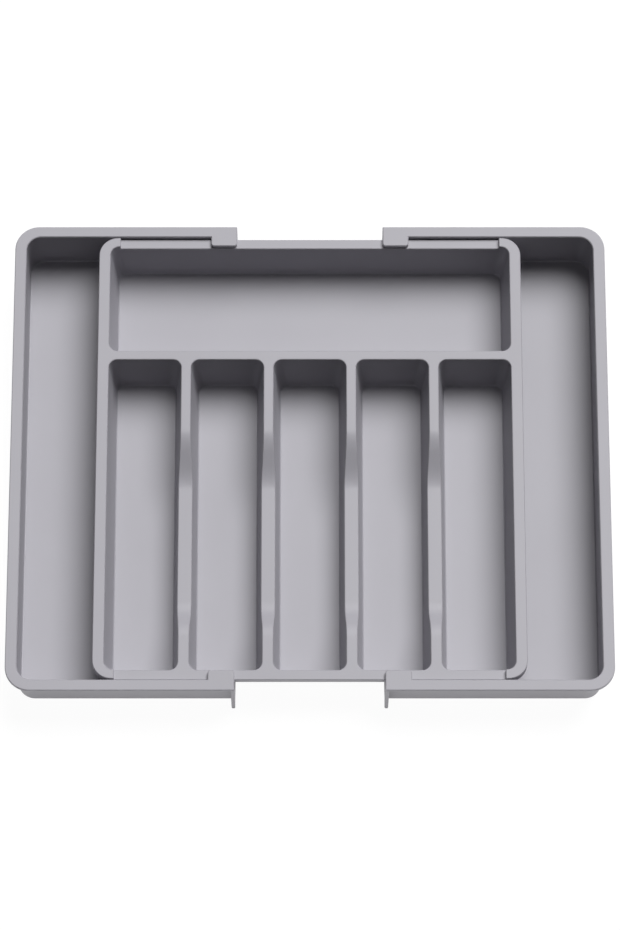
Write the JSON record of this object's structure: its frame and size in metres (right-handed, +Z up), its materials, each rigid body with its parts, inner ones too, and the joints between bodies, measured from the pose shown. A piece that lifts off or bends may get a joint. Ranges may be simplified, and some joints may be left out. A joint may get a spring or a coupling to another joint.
{
  "type": "cutlery tray",
  "caption": "Expanding cutlery tray: a centre tray with a wide back compartment and slots, over two side trays that slide out to the left and right.",
  "frame": {"origin": "under the middle of the tray, at the feet's lower faces", "axes": "+X to the right along the slide, +Y to the back, +Z up"},
  "size_m": [0.492, 0.405, 0.052],
  "materials": {
    "grey_plastic": "matte",
    "rubber": "matte"
  },
  "bodies": {
    "centre": {"centre_tray": "grey_plastic"},
    "left": {"left_side_tray": "grey_plastic", "left_foot_front_inner": "rubber", "left_foot_front_outer": "rubber", "left_foot_back_inner": "rubber", "left_foot_back_outer": "rubber"},
    "right": {"right_side_tray": "grey_plastic", "right_foot_front_inner": "rubber", "right_foot_front_outer": "rubber", "right_foot_back_inner": "rubber", "right_foot_back_outer": "rubber"}
  },
  "joints": [
    {"name": "left_slide", "type": "slide", "parent": "centre", "child": "left", "axis": [-1, 0, 0], "range_m": [-0.0603, 0.0753]},
    {"name": "right_slide", "type": "slide", "parent": "centre", "child": "right", "axis": [1, 0, 0], "range_m": [-0.0603, 0.0753]}
  ]
}
